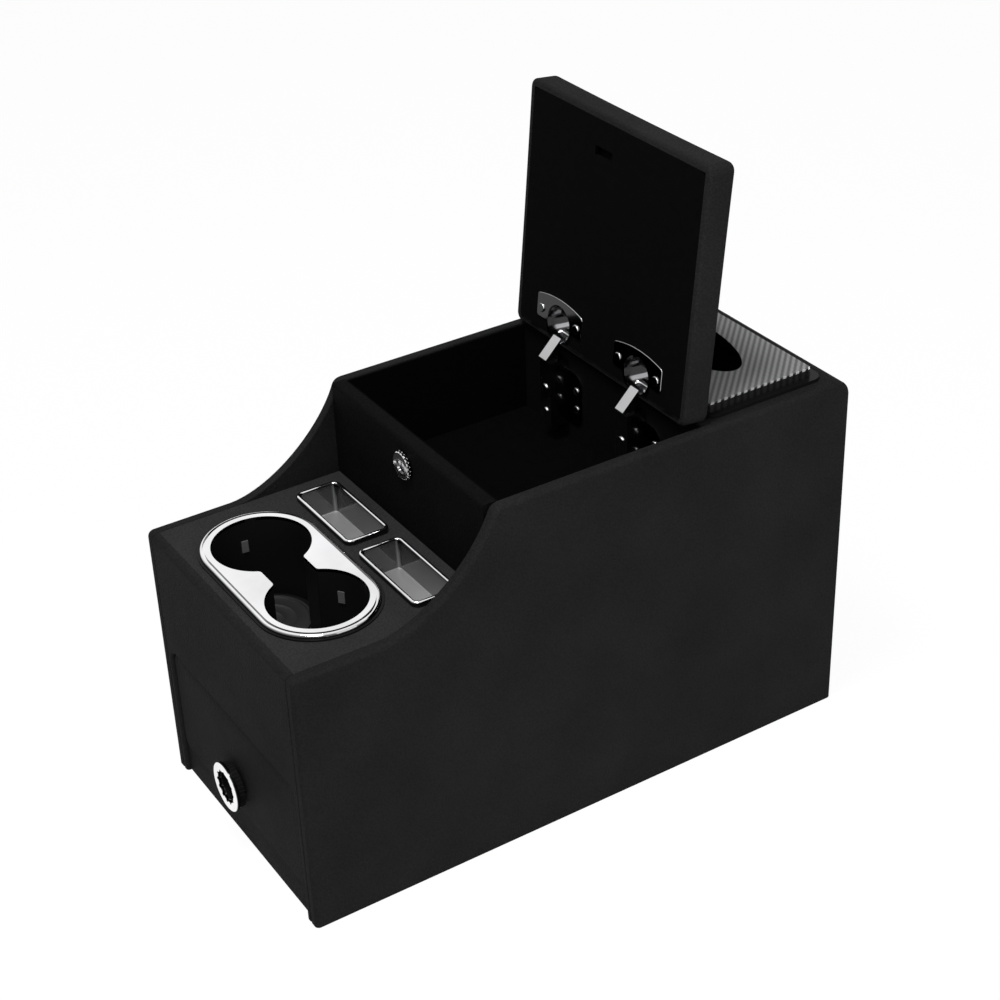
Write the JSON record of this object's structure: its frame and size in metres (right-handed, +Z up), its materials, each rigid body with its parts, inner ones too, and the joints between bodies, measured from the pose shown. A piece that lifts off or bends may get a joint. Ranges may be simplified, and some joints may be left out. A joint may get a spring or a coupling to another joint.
{
  "type": "car centre console box",
  "caption": "Padded car console box with a hinged locking lid over a felt bin, a pull-out drawer, joined cup holders, small trays and a tissue box.",
  "frame": {"origin": "centre of the base footprint, on the floor", "axes": "+X to the right side, -Y to the drawer front, +Z up"},
  "size_m": [0.26, 0.547, 0.5547],
  "materials": {
    "leather": "fine-grained black leatherette over padding",
    "deck_leather": "charcoal leatherette",
    "felt": "black felt",
    "board": "stained board",
    "glide_plastic": "plain black plastic",
    "black_plastic": "satin black plastic",
    "smoked_plastic": "glossy smoked plastic",
    "carbon": "twill-patterned glossy plastic",
    "lens": "milky lens",
    "chrome": "polished",
    "hinge_steel": "bright nickel plate"
  },
  "bodies": {
    "console": {"base_board": "board", "bin_back_wall": "board", "bin_felt": "felt", "bin_floor": "board", "cup_bezel": "chrome", "cup_well": "black_plastic", "deck_panel": "deck_leather", "drawer_ceiling": "board", "front_frame": "leather", "hinge_arm_screws": "hinge_steel", "hinge_plate_screws": "hinge_steel", "left_cup_lamp": "lens", "left_drawer_runner": "glide_plastic", "left_hinge_arm": "hinge_steel", "left_hinge_plate": "hinge_steel", "left_side_panel": "leather", "left_tray": "smoked_plastic", "left_tray_rim": "chrome", "lock_barrel": "chrome", "lock_nut": "hinge_steel", "rear_deck": "leather", "rear_panel": "leather", "right_cup_lamp": "lens", "right_drawer_runner": "glide_plastic", "right_hinge_arm": "hinge_steel", "right_hinge_plate": "hinge_steel", "right_side_panel": "leather", "right_tray": "smoked_plastic", "right_tray_rim": "chrome", "riser_wall": "leather", "tissue_cover": "carbon", "tissue_tub": "black_plastic"},
    "lid": {"lid_pad": "leather", "lid_backing": "felt", "left_hinge_cup": "hinge_steel", "right_hinge_cup": "hinge_steel", "left_hinge_pin": "hinge_steel", "right_hinge_pin": "hinge_steel", "hinge_cup_screws": "hinge_steel"},
    "bin_lock": {"lock_plug": "chrome", "lock_cam": "hinge_steel", "lock_cam_screw": "hinge_steel"},
    "drawer": {"drawer_front": "leather", "left_drawer_side": "board", "right_drawer_side": "board", "drawer_back": "board", "drawer_floor": "board", "left_drawer_glide": "glide_plastic", "right_drawer_glide": "glide_plastic", "knob_body": "black_plastic", "knob_ring": "chrome", "knob_screw": "hinge_steel"}
  },
  "joints": [
    {"name": "lid_hinge", "type": "hinge", "parent": "console", "child": "lid", "pos_m": [0, 0.1088, 0.3436], "axis": [1, 0, 0], "range_deg": [0, 95.8]},
    {"name": "drawer_slide", "type": "slide", "parent": "console", "child": "drawer", "axis": [0, -1, 0], "range_m": [0, 0.25]},
    {"name": "lock_turn", "type": "hinge", "parent": "console", "child": "bin_lock", "pos_m": [0, -0.07, 0.3102], "axis": [0, 1, 0], "range_deg": [0, 90]}
  ]
}
